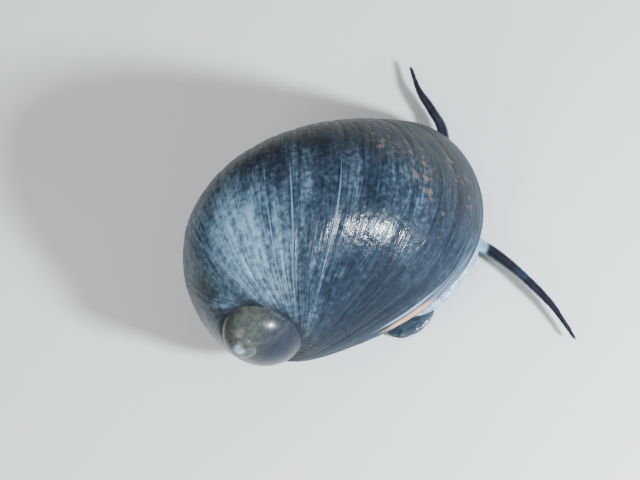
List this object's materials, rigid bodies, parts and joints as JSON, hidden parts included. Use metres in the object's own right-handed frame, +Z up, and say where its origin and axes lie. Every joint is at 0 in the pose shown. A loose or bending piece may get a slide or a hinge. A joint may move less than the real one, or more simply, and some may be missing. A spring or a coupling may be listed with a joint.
{
  "type": "nerite snail",
  "caption": "Life-size still model of a crawling nerite snail: rounded dark shell with a low spire, flat foot, and head with spread tentacles.",
  "frame": {"origin": "on the ground, in the middle of the underside of the box round the whole snail", "axes": "+X the way the snail crawls, +Y its left, +Z up"},
  "size_m": [0.026, 0.0302, 0.0146],
  "materials": {
    "shell_dark": "wet dark slate-blue shell with fine growth lines",
    "shell_worn": "wet, worn olive-grey and mauve-brown shell",
    "shell_callus": "smooth porcelain-like cream",
    "operculum": "finely granular bluish grey",
    "flesh_pale": "wet pale blue-grey flesh",
    "flesh_dark": "wet blue-black flesh",
    "eye": "wet black"
  },
  "bodies": {
    "root": {"shell_body_whorl": "shell_dark", "shell_spire": "shell_worn", "shell_callus": "shell_callus", "operculum": "operculum", "foot": "flesh_pale", "mantle_edge": "flesh_pale", "head": "flesh_dark", "snout": "flesh_dark", "tentacle_right_1": "flesh_dark", "tentacle_right_2": "flesh_dark", "tentacle_right_3": "flesh_dark", "tentacle_left_1": "flesh_dark", "tentacle_left_2": "flesh_dark", "tentacle_left_3": "flesh_dark", "eye_stalk_right": "flesh_dark", "eye_stalk_left": "flesh_dark", "eye_right": "eye", "eye_left": "eye"}
  },
  "joints": []
}
